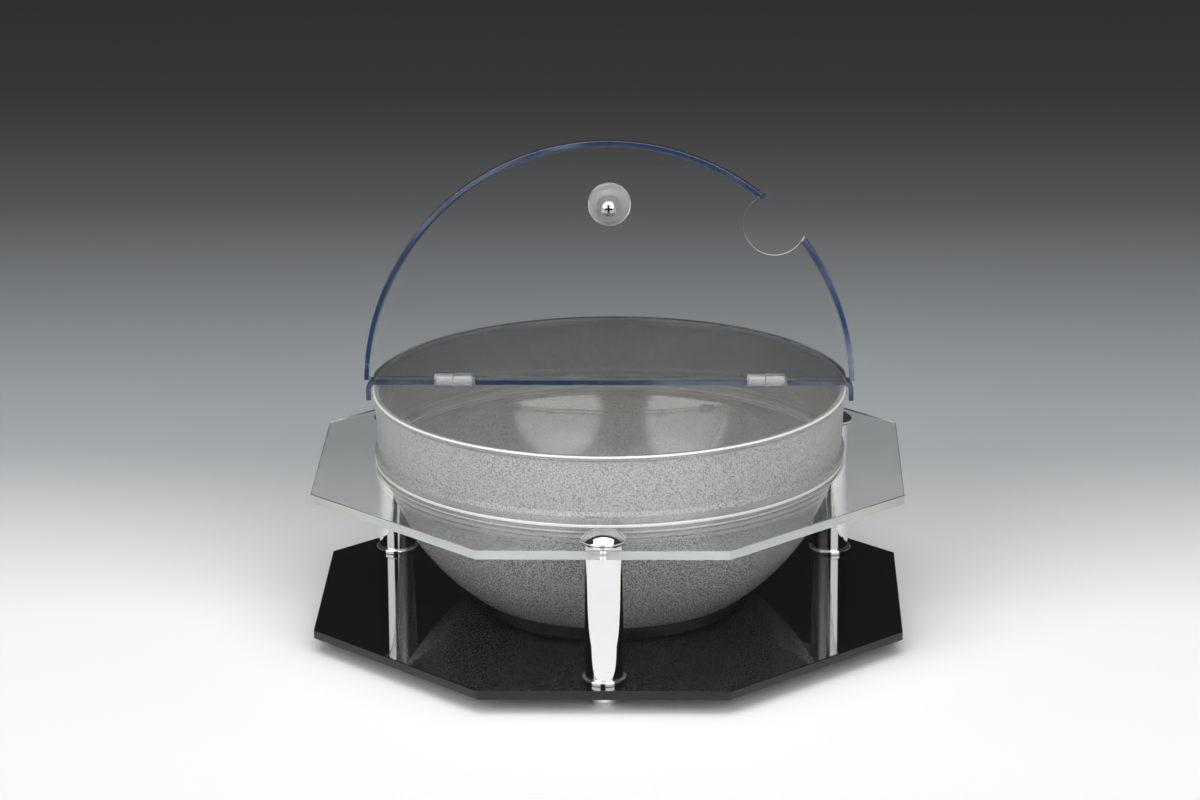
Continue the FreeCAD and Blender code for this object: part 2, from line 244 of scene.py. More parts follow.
@dataclass(frozen=True)
class ClearAcrylic(Finish):
    """Polished clear sheet with handling haze, hairline scratches, a tint in its depth, and painted
    reflection streaks where given.
    """

    tint: Colour
    density: float
    ior: float = 1.49
    shade: Colour = (1.0, 1.0, 1.0)
    reflection_streak: Colour | None = None
    reflection_streaks: float = 16.0
    reflection_streak_span: Span = (0.48, 0.66)
    clearness: float = 1.0
    haze: Span = (0.0, 0.03)
    hazes: float = 22.0
    haze_span: Span = (0.45, 0.75)
    scratch_height: float = 0.0000012
    scratches: Triple = (1400.0, 45.0, 1400.0)
    scratch_span: Span = (0.6, 0.72)

    def wire(self, graph: Graph) -> None:
        """Wire the haze, the scratches, the painted reflection streaks and the tint."""
        haze = graph.ranged(graph.noise(self.hazes), self.haze_span, self.haze)
        hairlines = graph.ranged(graph.lines(self.scratches, detail=2.0), self.scratch_span, RISING)
        shade = (*self.shade, 1.0)
        # Painted reflection: patches of a paler colour stand in for streaks of reflected light.
        if self.reflection_streak:
            patches = graph.ranged(graph.noise(self.reflection_streaks, detail=1.0), self.reflection_streak_span, RISING)
            shade = graph.blended(patches, self.shade, self.reflection_streak)
        graph.dress(Base_Color=shade, Transmission_Weight=self.clearness, IOR=self.ior, Roughness=haze,
                    Normal=graph.bumped(hairlines, self.scratch_height))
        graph.absorb(self.tint, self.density)


@dataclass(frozen=True)
class MouldedBowl(Finish):
    """Clear moulded plastic, plain or pebbled, with painted shade in the pebbles' valleys."""

    pebble_height: float = 0.0
    pebbles: float = 900.0
    pebble_smoothness: float = 0.15
    pebble_randomness: float = 0.85
    dome_span: Span = (0.05, 0.6)
    # Span of the pebble cells over which the painted valley shade comes in.
    valley_shade_span: Span = (0.3, 0.75)
    shade: Colour = (1.0, 0.99, 0.96)
    # Painted shade: the colour that the pebbles' valleys darken to.
    valley_painted_shade: Colour = (0.56, 0.56, 0.54)
    tint: Colour = (0.5, 0.52, 0.5)
    density: float = 0.6
    ior: float = 1.57
    clearness: float = 0.95
    ripple_height: float = 0.00002
    ripples: float = 90.0
    haze: Span = (0.0, 0.04)
    hazes: float = 60.0
    haze_span: Span = (0.4, 0.75)

    def wire(self, graph: Graph) -> None:
        """Wire the moulding's ripple, the pebbles on it with painted shade in their valleys, and the haze.
        """
        relief = graph.bumped(graph.noise(self.ripples, detail=1.0), self.ripple_height)
        shade = (*self.shade, 1.0)
        if self.pebble_height:
            layout = {"Vector": graph.coords, "Scale": self.pebbles, "Smoothness": self.pebble_smoothness,
                      "Randomness": self.pebble_randomness}
            cells = graph.node("ShaderNodeTexVoronoi", layout, feature="SMOOTH_F1").outputs["Distance"]
            relief = graph.bumped(graph.ranged(cells, self.dome_span, FALLING), self.pebble_height, relief)
            # Painted shade: the base colour darkens from the pebbles' crests into their valleys.
            shade = graph.blended(graph.ranged(cells, self.valley_shade_span, FALLING), self.valley_painted_shade, self.shade)
        haze = graph.ranged(graph.noise(self.hazes), self.haze_span, self.haze)
        graph.dress(Base_Color=shade, Transmission_Weight=self.clearness, IOR=self.ior, Roughness=haze,
                    Normal=relief)
        graph.absorb(self.tint, self.density)


@dataclass(frozen=True)
class BrightPlating(Finish):
    """Mirror plating with faint handling smudges and polishing lines."""

    bright: Colour = (0.87, 0.87, 0.88)
    worn: Colour = (0.85, 0.85, 0.86)
    gloss: Span = (0.015, 0.045)
    smudges: float = 85.0
    smudge_span: Span = (0.5, 0.78)
    line_height: float = 0.0000015
    polish_lines: Triple = (60.0, 60.0, 2600.0)

    def wire(self, graph: Graph) -> None:
        """Wire the smudges and the polishing lines."""
        smudges = graph.ranged(graph.noise(self.smudges), self.smudge_span, RISING)
        graph.dress(Base_Color=graph.blended(smudges, self.bright, self.worn), Metallic=1.0,
                    Roughness=graph.ranged(smudges, RISING, self.gloss),
                    Normal=graph.bumped(graph.lines(self.polish_lines, detail=3.0), self.line_height))


@dataclass(frozen=True)
class BlackAcrylic(Finish):
    """Polished black sheet with wiping haze, fine scratches and specks of dust."""

    deep: Colour = (0.004, 0.004, 0.0045)
    dusty: Colour = (0.1, 0.1, 0.098)
    specks: float = 240.0
    speck_span: Span = (0.05, 0.075)
    patches: float = 30.0
    patch_span: Span = (0.55, 0.7)
    gloss: Span = (0.004, 0.025)
    wipes: float = 14.0
    wipe_span: Span = (0.4, 0.75)
    ior: float = 1.49
    scratch_height: float = 0.000001
    scratches: Triple = (1600.0, 50.0, 1600.0)
    scratch_span: Span = (0.62, 0.74)

    def wire(self, graph: Graph) -> None:
        """Wire the dust, the haze and the scratches."""
        specks = graph.node("ShaderNodeTexVoronoi", {"Vector": graph.coords, "Scale": self.specks})
        dust = graph.ranged(specks.outputs["Distance"], self.speck_span, FALLING)
        patches = graph.ranged(graph.noise(self.patches), self.patch_span, RISING)
        sparse = graph.node("ShaderNodeMath", {0: dust, 1: patches}, operation="MULTIPLY").outputs[0]
        scratches = graph.ranged(graph.lines(self.scratches, detail=2.0), self.scratch_span, RISING)
        graph.dress(Base_Color=graph.blended(sparse, self.deep, self.dusty), IOR=self.ior,
                    Roughness=graph.ranged(graph.noise(self.wipes), self.wipe_span, self.gloss),
                    Normal=graph.bumped(scratches, self.scratch_height))


@dataclass(frozen=True)
class Grained(Finish):
    """Satin surface with a fine grain and uneven colour, of metal or of plastic."""

    light: Colour
    dark: Colour
    metal: float
    gloss: Span
    patches: float
    grains: float
    grain_height: float
    patch_span: Span = (0.3, 0.7)

    def wire(self, graph: Graph) -> None:
        """Wire the grain and the uneven patches."""
        patches = graph.noise(self.patches)
        graph.dress(Base_Color=graph.blended(patches, self.light, self.dark), Metallic=self.metal,
                    Roughness=graph.ranged(patches, self.patch_span, self.gloss),
                    Normal=graph.bumped(graph.noise(self.grains, detail=2.0), self.grain_height))


@dataclass(frozen=True)
class StudioPaper(Finish):
    """Pale paper floor with painted shade: its colour falls off behind the object and far in front of it,
    in place of the light's falloff.
    """

    # Painted shade along Y: the stops behind stand for the backdrop's falling light, and the dark stop far
    # in front darkens the room that the open leaf mirrors.
    painted_falloff_tones: tuple[tuple[float, Colour], ...] = (
        (-1.8, (0.12, 0.12, 0.12)),
        (-0.6, (0.95, 0.95, 0.95)),
        (-0.25, (0.95, 0.95, 0.95)),
        (0.0, (0.91, 0.91, 0.905)),
        (0.17, (0.68, 0.69, 0.695)),
        (0.35, (0.41, 0.435, 0.445)),
        (0.67, (0.25, 0.268, 0.277)),
        (1.05, (0.107, 0.110, 0.112)),
        (1.3, (0.068, 0.068, 0.068)),
        (1.5, (0.049, 0.048, 0.046)),
        (2.0, (0.040, 0.0385, 0.036)),
    )
    reach: Span = (-2.0, 3.0)
    roughness: float = 0.95
    fibres: float = 1800.0
    fibre_height: float = 0.00004

    def wire(self, graph: Graph) -> None:
        """Wire the painted shade along Y and the paper's fibre."""
        depth = graph.node("ShaderNodeSeparateXYZ", {"Vector": graph.coords}).outputs["Y"]
        ramp = graph.node("ShaderNodeValToRGB", {"Fac": graph.ranged(depth, self.reach, RISING)})
        stops = ramp.color_ramp.elements
        stops.remove(stops[0])
        for index, (place, tone) in enumerate(self.painted_falloff_tones):
            share = (place - self.reach[0]) / (self.reach[1] - self.reach[0])
            stop = stops[0] if index == 0 else stops.new(share)
            stop.position = share
            stop.color = (*tone, 1.0)
        graph.dress(Base_Color=ramp.outputs["Color"], Roughness=self.roughness, Specular_IOR_Level=0.0,
                    Normal=graph.bumped(graph.noise(self.fibres, detail=3.0), self.fibre_height))


LID_ACRYLIC = ClearAcrylic("clear_lid_acrylic", tint=(0.04, 0.4, 0.78), density=8.0)
# The cut edges' navy carries paler painted reflection streaks.
LID_CUT = replace(LID_ACRYLIC, name="polished_lid_cut", shade=(0.05, 0.11, 0.26),
                  reflection_streak=(0.38, 0.45, 0.62), clearness=0.7)
LID_NOTCH = replace(LID_ACRYLIC, name="milled_lid_notch", clearness=0.2, haze=(0.3, 0.5))
HINGE_ACRYLIC = ClearAcrylic("clear_hinge_acrylic", tint=(0.3, 0.55, 0.7), density=1.0, clearness=0.8,
                             haze=(0.0, 0.05))
RING_ACRYLIC = ClearAcrylic("clear_ring_acrylic", tint=(0.1, 0.6, 0.4), density=1.5)
# Painted glow: the outer edge is made milky white to stand in for light carried through the sheet to its
# edge.
RING_EDGE_GLOW = replace(RING_ACRYLIC, name="painted_glow_ring_edge", shade=(0.97, 0.99, 0.95), clearness=0.66)
RING_BORE = replace(RING_ACRYLIC, name="sawn_ring_bore", shade=(0.96, 0.98, 0.94), clearness=0.2,
                    haze=(0.4, 0.6))
KNOB_ACRYLIC = ClearAcrylic("clear_knob_acrylic", tint=(0.4, 0.6, 0.7), density=1.0, clearness=0.68)
BOWL_FINISHES = {
    BowlPart.UNDERSIDE: MouldedBowl("smooth_bowl_underside"),
    BowlPart.WALL: MouldedBowl("pebbled_bowl_wall", pebble_height=0.0002, clearness=0.68),
    # Painted shade: the belly is a darker copy of the wall's finish, with darker valleys, for the shade
    # under the bowl.
    BowlPart.SHADED_BELLY: MouldedBowl("pebbled_bowl_belly_painted_shade", pebble_height=0.0003, clearness=0.68,
                                shade=(0.92, 0.91, 0.87), valley_painted_shade=(0.32, 0.32, 0.3)),
    # Painted highlight: the collar's ridge and the rim's outer edge are made milky white to stand in for
    # their bright lines.
    BowlPart.LINE: MouldedBowl("painted_highlight_bowl_line", clearness=0.3, haze=(0.3, 0.4)),
    BowlPart.BAND: MouldedBowl("satin_bowl_band", clearness=0.85),
    BowlPart.INSIDE: MouldedBowl("smooth_bowl_inside", clearness=0.76),
}
PLATING = BrightPlating("bright_plating")
BASE_BLACK = BlackAcrylic("polished_black_acrylic")
SCREW_STEEL = Grained("zinc_fastener_steel", light=(0.66, 0.66, 0.65), dark=(0.5, 0.5, 0.5), metal=1.0,
                      gloss=(0.22, 0.4), patches=500.0, grains=4000.0, grain_height=0.000012)
# Painted shade: the cross recess is coloured near black for the shade inside it.
PAINTED_SHADE_RECESS_STEEL = replace(SCREW_STEEL, name="painted_shade_recess_steel", light=(0.05, 0.045, 0.04),
                       dark=(0.03, 0.027, 0.025))
BUSH_PLASTIC = Grained("moulded_bush_plastic", light=(0.06, 0.06, 0.06), dark=(0.035, 0.035, 0.036),
                       metal=0.0, gloss=(0.45, 0.6), patches=200.0, grains=5000.0, grain_height=0.00002)
PAPER = StudioPaper("studio_paper")


@dataclass(frozen=True)
class Place:
    """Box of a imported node: where a piece stands and how far it reaches."""

    low: Vector
    high: Vector

    @classmethod
    def of(cls, node: str) -> "Place":
        """Box of one node at rest."""
        return cls(*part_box(node))

    @property
    def centre(self) -> Vector:
        """Middle of the box."""
        return (self.low + self.high) / 2

    @property
    def radius(self) -> float:
        """Half of the box's width."""
        return (self.high.x - self.low.x) / 2

    @property
    def height(self) -> float:
        """Height of the box."""
        return self.high.z - self.low.z


class Outline:
    """Half-section of a turned piece: radii and heights joined by straight and round stretches.

    Each stretch returns the outline, for the next one. Steps are the straight steps that stand for a curve.
    """

    def __init__(self, radius: float, height: float) -> None:
        """Start the section at a point."""
        self.points: list[Vector] = [Vector((radius, 0.0, height))]

    def line(self, radius: float, height: float) -> "Outline":
        """Go straight to a point."""
        self.points.append(Vector((radius, 0.0, height)))
        return self

    def arc(self, centre: Point, radius: float, first: float, last: float, steps: int,
            upright: float | None = None) -> "Outline":
        """Go round a centre.

        Args:
            centre: Radius and height of the centre.
            radius: Radius of the arc.
            first: Angle in degrees where the outline is now.
            last: Angle in degrees where the arc ends.
            steps: Number of steps.
            upright: Upright radius, if the arc is oval.

        Returns:
            The outline.
        """
        for index in range(1, steps + 1):
            turn = math.radians(first + (last - first) * index / steps)
            self.line(centre[0] + radius * math.cos(turn), centre[1] + (upright or radius) * math.sin(turn))
        return self

    def swell(self, upright: Point, end: Point, steps: int) -> "Outline":
        """Go round between a point where the wall stands upright and another, from the one it is at.

        Args:
            upright: Radius and height where the wall is upright.
            end: Radius and height of the arc's other end.
            steps: Number of steps.

        Returns:
            The outline.
        """
        inset = upright[0] - end[0]
        rise = end[1] - upright[1]
        radius = (inset ** 2 + rise ** 2) / (2 * inset)
        angle = math.degrees(math.asin(rise / radius))
        at_upright = abs(self.points[-1].z - upright[1]) < MERGE
        first, last = (0.0, angle) if at_upright else (angle, 0.0)
        return self.arc((upright[0] - radius, upright[1]), radius, first, last, steps)

    def dome(self, edge: Point, apex: float, steps: int) -> "Outline":
        """Go to an edge, and from there over a dome to the axis.

        Args:
            edge: Radius and height of the dome's edge.
            apex: Height where it meets the axis, above or below the edge.
            steps: Number of steps.

        Returns:
            The outline.
        """
        rise = abs(apex - edge[1])
        way = math.copysign(1.0, apex - edge[1])
        radius = (edge[0] ** 2 + rise ** 2) / (2 * rise)
        angle = math.degrees(math.acos(edge[0] / radius))
        return self.line(*edge).arc((0.0, apex - way * radius), radius, way * angle, way * 90, steps)


def turned(outline: Outline, steps: int) -> BMesh:
    """Spin a half-section about the Z axis.

    Args:
        outline: The section, closed by itself unless both ends lie on the axis.
        steps: Number of facets round the piece.

    Returns:
        The closed mesh.
    """
    bm = bmesh.new()
    verts = [bm.verts.new(point) for point in outline.points]
    pairs = list(zip(verts, verts[1:]))
    if verts[0].co.x > MERGE:
        pairs.append((verts[-1], verts[0]))
    for pair in pairs:
        bm.edges.new(pair)
    bmesh.ops.spin(bm, geom=bm.verts[:] + bm.edges[:], cent=(0, 0, 0), axis=(0, 0, 1), dvec=(0, 0, 0),
                   angle=2 * math.pi, steps=steps, use_merge=True)
    bmesh.ops.remove_doubles(bm, verts=bm.verts[:], dist=MERGE)
    bmesh.ops.recalc_face_normals(bm, faces=bm.faces[:])
    return bm


def moved(bm: BMesh, offset: Vector) -> BMesh:
    """The same mesh, shifted."""
    bmesh.ops.translate(bm, vec=offset, verts=bm.verts[:])
    return bm


def softened(bm: BMesh, width: float) -> BMesh:
    """The same mesh, with its sharp edges rounded to a width."""
    edges = [edge for edge in bm.edges if edge.calc_face_angle(0.0) > SHARP]
    bmesh.ops.bevel(bm, geom=edges, offset=width, offset_type="OFFSET", segments=BEVEL_SEGMENTS,
                    profile=0.5, affect="EDGES", clamp_overlap=True, material=-1)
    return bm


def lathed(outline: Outline, steps: int, width: float) -> BMesh:
    """A half-section spun about the Z axis, with its sharp edges rounded to a width."""
    return softened(turned(outline, steps), width)


def block(low: Triple, high: Triple) -> BMesh:
    """Box between two corners."""
    bm = bmesh.new()
    size = Vector(high) - Vector(low)
    middle = (Vector(high) + Vector(low)) / 2
    bmesh.ops.create_cube(bm, size=1.0, matrix=Matrix.Translation(middle) @ Matrix.Diagonal((*size, 1.0)))
    return bm


def drill(radius: float, centre: Vector, depth: float, steps: int = 96) -> BMesh:
    """Upright round cutter of a radius and depth about a centre."""
    bm = bmesh.new()
    bmesh.ops.create_cone(bm, cap_ends=True, segments=steps, radius1=radius, radius2=radius, depth=depth,
                          matrix=Matrix.Translation(centre))
    return bm


def placed(name: str, bm: BMesh) -> Object:
    """An object in the scene, made from a mesh that is used up."""
    mesh = bpy.data.meshes.new(name)
    bm.to_mesh(mesh)
    bm.free()
    made = bpy.data.objects.new(name, mesh)
    bpy.context.scene.collection.objects.link(made)
    return made


def carved(blank: BMesh, cutters: list[BMesh], joined: list[BMesh] | None = None) -> BMesh:
    """Join meshes to a blank and cut others out of it.

    Args:
        blank: The mesh to work on, used up.
        cutters: Meshes to take away, used up.
        joined: Meshes to add first, used up.

    Returns:
        The carved mesh.
    """
    steps = [(bm, "UNION") for bm in joined or []] + [(bm, "DIFFERENCE") for bm in cutters]
    parts = [placed("carving", bm) for bm in (blank, *(bm for bm, _ in steps))]
    for tool, (_, operation) in zip(parts[1:], steps):
        carve = parts[0].modifiers.new("carve", "BOOLEAN")
        carve.object = tool
        carve.operation = operation
        carve.solver = "EXACT"
    result = bmesh.new()
    result.from_object(parts[0], bpy.context.evaluated_depsgraph_get())
    for part in parts:
        mesh = part.data
        bpy.data.objects.remove(part)
        bpy.data.meshes.remove(mesh)
    bmesh.ops.remove_doubles(result, verts=result.verts[:], dist=MERGE)
    return result


def dressed(node: str, bm: BMesh, body: Body, slot: Slot, *finishes: Finish) -> None:
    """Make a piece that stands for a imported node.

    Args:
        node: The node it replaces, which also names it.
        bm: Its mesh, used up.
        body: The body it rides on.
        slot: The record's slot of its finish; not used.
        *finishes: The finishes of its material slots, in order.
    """
    piece = placed(node + "_dressed", bm)
    mesh = piece.data
    mesh.shade_smooth()
    mesh.set_sharp_from_angle(angle=SHARP)
    for finish in finishes:
        mesh.materials.append(finish.material())
    normals = piece.modifiers.new("even_normals", "WEIGHTED_NORMAL")
    normals.keep_sharp = True
    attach(piece, body.value)
    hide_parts(node)
    LOG.info("%s: %d faces", piece.name, len(mesh.polygons))


def refinished(node: str, finish: Finish) -> None:
    """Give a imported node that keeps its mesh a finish."""
    slots = frame["nodes"][node].data.materials
    for index in range(len(slots)):
        slots[index] = finish.material()
    LOG.info("%s: refinished", node)


@dataclass
class Bowl:
    """Clear bowl: pebbled round body, smooth seat collar, bead and rim."""

    body_radius: float = 0.1543
    floor_radius: float = 0.0876
    floor_round: float = 0.012
    wall: float = 0.003
    seat_height: float = 0.087
    collar_standout: float = 0.002
    collar_band: float = 0.006
    ridge_rise: float = 0.0022
    ridge_height: float = 0.002
    ridge_standout: float = 0.0004
    bead_height: float = 0.006
    bead_standout: float = 0.0006
    rim_bead_height: float = 0.0034
    rim_bead_standout: float = 0.0012
    rim_inner_round: float = 0.001
    rim_band: float = 0.004
    # Height of the painted highlight line at the top of the rim.
    rim_highlight_line: float = 0.0008
    line_facing: float = 0.1
    edge_round: float = 0.0003
    steps: int = 256
    body_steps: int = 40
    toe_steps: int = 8
    inner_toe_steps: int = 6
    bead_steps: int = 8
    lip_steps: int = 5

    def __post_init__(self) -> None:
        """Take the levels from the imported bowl, and what follows from the sizes."""
        self.place = Place.of("bowl")
        self.bottom = self.place.low.z
        self.rim = self.place.high.z
        self.centre_rise = math.sqrt(self.body_radius ** 2 - self.floor_radius ** 2)
        self.seat_radius = math.sqrt(self.body_radius ** 2 - (self.centre_rise - self.seat_height) ** 2)
        self.seat = self.bottom + self.seat_height + SEAM
        self.ridge_foot = self.seat + self.ridge_rise
        self.band_top = self.seat + self.collar_band

    def section(self) -> Outline:
        """Half-section from the outside bottom over the rim to the inside bottom.

        Returns:
            The outline.
        """
        rim_wall = self.place.radius - self.rim_bead_standout
        rim_foot = self.rim - self.rim_bead_height
        inner = self.body_radius - self.wall
        toe_radius = math.sqrt((self.body_radius - self.floor_round) ** 2
                               - (self.centre_rise - self.floor_round) ** 2)
        toe = (toe_radius, self.bottom + self.floor_round)
        toe_end = math.degrees(math.atan2(self.floor_round - self.centre_rise, toe_radius))
        centre = (0.0, self.bottom + self.centre_rise)
        drop = centre[1] - self.seat
        outer_seat = -math.degrees(math.asin(drop / self.body_radius))
        inner_seat = -math.degrees(math.asin(drop / inner))
        collar = self.seat_radius + self.collar_standout
        bead_top = self.band_top + self.bead_height
        wall_share = (bead_top - self.seat) / (rim_foot - self.seat)
        bead_foot = self.seat_radius + (rim_wall - self.seat_radius) * wall_share
        smooth_share = (self.rim - self.rim_band - bead_top) / (rim_foot - bead_top)
        smooth_foot = bead_foot + (rim_wall - bead_foot) * smooth_share
        ridge = (collar, self.ridge_foot + self.ridge_height / 2)
        rim_bead = (rim_wall, self.rim - self.rim_bead_height / 2)
        lip = rim_wall - self.wall + self.rim_inner_round
        lip_centre = (lip, self.rim - self.rim_inner_round)

        outline = Outline(0.0, self.bottom).line(toe_radius, self.bottom)
        outline.arc(toe, self.floor_round, -90, toe_end, self.toe_steps)
        outline.arc(centre, self.body_radius, toe_end, outer_seat, self.body_steps).line(collar, self.seat)
        outline.line(collar, self.ridge_foot)
        outline.arc(ridge, self.ridge_standout, -90, 90, self.bead_steps, self.ridge_height / 2)
        outline.line(collar, self.band_top)
        for index in range(1, self.bead_steps + 1):
            share = index / self.bead_steps
            bulge = self.bead_standout * math.sin(math.pi * share)
            outline.line(collar + (bead_foot - collar) * share ** 3 + bulge,
                         self.band_top + self.bead_height * share)
        outline.line(smooth_foot, self.rim - self.rim_band).line(rim_wall, rim_foot)
        outline.arc(rim_bead, self.rim_bead_standout, -90, 90, self.bead_steps, self.rim_bead_height / 2)
        outline.line(lip, self.rim).arc(lip_centre, self.rim_inner_round, 90, 180, self.lip_steps)
        outline.line(inner * math.cos(math.radians(inner_seat)), self.seat)
        outline.arc(centre, inner, inner_seat, toe_end, self.body_steps)
        outline.arc(toe, self.floor_round - self.wall, toe_end, -90, self.inner_toe_steps)
        return outline.line(0.0, self.bottom + self.wall)

    def part_at(self, centre: Vector, normal: Vector) -> BowlPart:
        """Which part of the bowl's surface a spot belongs to.

        Args:
            centre: The spot.
            normal: The way its surface faces.

        Returns:
            The part: the lines are the collar's ridge and the rim's outer edge, painted as highlights, and
                the bands lie round them.
        """
        outward = normal.xy.dot(centre.xy.normalized())
        if normal.z > 0 and outward < self.line_facing or outward < -self.line_facing:
            return BowlPart.INSIDE
        if outward < self.line_facing:
            return BowlPart.UNDERSIDE
        if self.band_top + self.bead_height / 2 < centre.z < self.rim - self.rim_band:
            return BowlPart.WALL
        # Below the seat the belly takes the darker, painted shade finish.
        if self.bottom + MERGE < centre.z < self.seat - MERGE:
            return BowlPart.SHADED_BELLY
        # The collar's ridge and the top of the rim take the painted highlight finish.
        on_ridge = self.ridge_foot < centre.z < self.ridge_foot + self.ridge_height
        if on_ridge or centre.z > self.rim - self.rim_highlight_line:
            return BowlPart.LINE
        return BowlPart.BAND if centre.z > self.seat else BowlPart.UNDERSIDE

    def build(self) -> None:
        """Turn the bowl and mark the parts of its surface."""
        bm = lathed(self.section(), self.steps, self.edge_round)
        for face in bm.faces:
            face.material_index = self.part_at(face.calc_center_median(), face.normal)
        dressed("bowl", bm, Body.BOWL, Slot.BOWL, *(BOWL_FINISHES[part] for part in BowlPart))


@dataclass
class Plates:
    """Black base and clear ring plate: octagons with one flat facing the front."""

    bowl: Bowl
    posts: list[Vector]
    sides: int = 8
    edge_round: float = 0.0006
    hole_clearance: float = 0.0005
    rod_hole: float = 0.00425
    neck_hole: float = 0.0065
    hole_steps: int = 192

    def __post_init__(self) -> None:
        """Take the angle that each side of a plate spans."""
        self.wedge = 2 * math.pi / self.sides

    def edge_distance(self, place: Place, turn: float) -> float:
        """Distance from the middle to the octagon's edge in one direction."""
        off_flat = (turn + self.wedge / 2) % self.wedge - self.wedge / 2
        return place.radius / math.cos(off_flat)

    def sawn(self, bm: BMesh, place: Place, thick: float, hole: float) -> BMesh:
        """Thicken a flat outline, round its edges and drill it at each post.

        Args:
            bm: The outline at the plate's underside, used up.
            place: Box of the plate.
            thick: Thickness of the plate.
            hole: Radius of the holes.

        Returns:
            The plate's mesh.
        """
        raised = bmesh.ops.extrude_face_region(bm, geom=bm.faces[:], use_keep_orig=True)["geom"]
        upper = [item for item in raised if isinstance(item, BMVert)]
        bmesh.ops.translate(bm, vec=(0, 0, thick), verts=upper)
        bmesh.ops.recalc_face_normals(bm, faces=bm.faces[:])
        depth = CUTTER_REACH * place.height
        drills = [drill(hole, Vector((post.x, post.y, place.centre.z)), depth) for post in self.posts]
        return carved(softened(bm, self.edge_round), drills)

    def build_base(self) -> None:
        """Saw the black base and drill it for the rods."""
        place = Place.of("base_plate")
        bm = bmesh.new()
        turn = Matrix.Rotation(self.wedge / 2, 4, "Z")
        bmesh.ops.create_circle(bm, cap_ends=True, segments=self.sides,
                                radius=self.edge_distance(place, self.wedge / 2),
                                matrix=Matrix.Translation((0, 0, place.low.z)) @ turn)
        bm = self.sawn(bm, place, place.height, self.rod_hole)
        dressed("base_plate", bm, Body.STAND, Slot.BLACK, BASE_BLACK)

    def build_ring(self) -> None:
        """Saw the clear ring plate round its bowl hole, drill it for the necks and mark its cuts."""
        place = Place.of("ring_plate")
        hole = self.bowl.seat_radius + self.hole_clearance
        bm = bmesh.new()
        bmesh.ops.create_circle(bm, segments=self.hole_steps, radius=hole,
                                matrix=Matrix.Translation((0, 0, place.low.z)))
        outer = bmesh.ops.extrude_edge_only(bm, edges=bm.edges[:])["geom"]
        for vert in (item for item in outer if isinstance(item, BMVert)):
            turn = math.atan2(vert.co.y, vert.co.x)
            reach = self.edge_distance(place, turn)
            vert.co.xy = (reach * math.cos(turn), reach * math.sin(turn))
        bm = self.sawn(bm, place, place.height - SEAM, self.neck_hole)
        for face in (face for face in bm.faces if abs(face.normal.z) < math.sin(SHARP)):
            reach = face.calc_center_median().xy.length
            if reach < hole + SEAM:
                face.material_index = SheetPart.HOLE
            # The outer edge faces take the milky painted glow finish.
            elif reach > place.radius - self.edge_round:
                face.material_index = SheetPart.EDGE
        dressed("ring_plate", bm, Body.STAND, Slot.CLEAR, RING_ACRYLIC, RING_EDGE_GLOW, RING_BORE)

    def build(self) -> None:
        """Make both plates."""
        self.build_base()
        self.build_ring()


@dataclass
class Post:
    """One post: foot, flange ring, plated tube and domed cap round a threaded rod."""

    side: Side
    tube_wall: float = 0.0015
    ring_round: float = 0.0012
    rod_socket: float = 0.00405
    cap_brim: float = 0.0012
    cap_height: float = 0.007
    cap_crown: float = 0.0025
    neck_radius: float = 0.00625
    foot_round: float = 0.004
    foot_chamfer: float = 0.0006
    foot_floor: float = 0.0025
    edge_round: float = 0.0003
    steps: int = 96
    foot_steps: int = 10
    ring_steps: int = 8
    dome_steps: int = 16

    def node(self, piece: str) -> str:
        """Name of one of this post's nodes."""
        return f"{self.side.value}_{piece}"

    def place(self, piece: str) -> Place:
        """Box of one of this post's nodes."""
        return Place.of(self.node(piece))

    @property
    def axis(self) -> Vector:
        """The post's place on the table."""
        middle = self.place("post_tube").centre
        return Vector((middle.x, middle.y, 0.0))

    def foot(self) -> Outline:
        """Half-section of the rounded foot with its rod socket."""
        place = self.place("foot")
        top = place.high.z - SEAM
        toe = (place.radius - self.foot_round, self.foot_round)
        section = Outline(0.0, self.foot_floor).line(self.rod_socket, self.foot_floor)
        section.line(self.rod_socket, top).line(place.radius - self.foot_chamfer, top)
        section.line(place.radius, top - self.foot_chamfer).line(place.radius, self.foot_round)
        return section.arc(toe, self.foot_round, 0, -90, self.foot_steps).line(0.0, 0.0)

    def flange(self) -> Outline:
        """Half-section of the ring under the tube with the spigot that centres it."""
        place = self.place("post_ring")
        tube = self.place("post_tube")
        low = place.low.z + SEAM
        shoulder = tube.low.z
        brow = (place.radius - self.ring_round, shoulder - self.ring_round)
        spigot = tube.radius - self.tube_wall - SEAM
        section = Outline(self.rod_socket, low).line(place.radius, low).line(place.radius, brow[1])
        section.arc(brow, self.ring_round, 0, 90, self.ring_steps)
        section.line(spigot, shoulder).line(spigot, place.high.z)
        return section.line(self.rod_socket, place.high.z)

    def tube(self) -> Outline:
        """Half-section of the tube."""
        place = self.place("post_tube")
        bore = place.radius - self.tube_wall
        low = place.low.z + SEAM
        high = place.high.z - SEAM
        return Outline(bore, low).line(place.radius, low).line(place.radius, high).line(bore, high)

    def cap(self) -> Outline:
        """Half-section of the domed cap with its socketed neck."""
        place = self.place("post_cap")
        seat = place.high.z - self.cap_height
        section = Outline(0.0, seat - self.cap_crown).line(self.rod_socket, seat - self.cap_crown)
        section.line(self.rod_socket, place.low.z).line(self.neck_radius, place.low.z)
        section.line(self.neck_radius, seat).line(place.radius, seat)
        return section.dome((place.radius, seat + self.cap_brim), place.high.z, self.dome_steps)

    def build(self) -> None:
        """Turn the plated pieces on the post's axis and finish the hidden ones."""
        sections = {"foot": self.foot(), "post_ring": self.flange(), "post_tube": self.tube(),
                    "post_cap": self.cap()}
        for piece, section in sections.items():
            bm = moved(lathed(section, self.steps, self.edge_round), self.axis)
            dressed(self.node(piece), bm, Body.STAND, Slot.CHROME, PLATING)
        refinished(self.node("post_rod"), SCREW_STEEL)
        refinished(self.node("post_bush"), BUSH_PLASTIC)


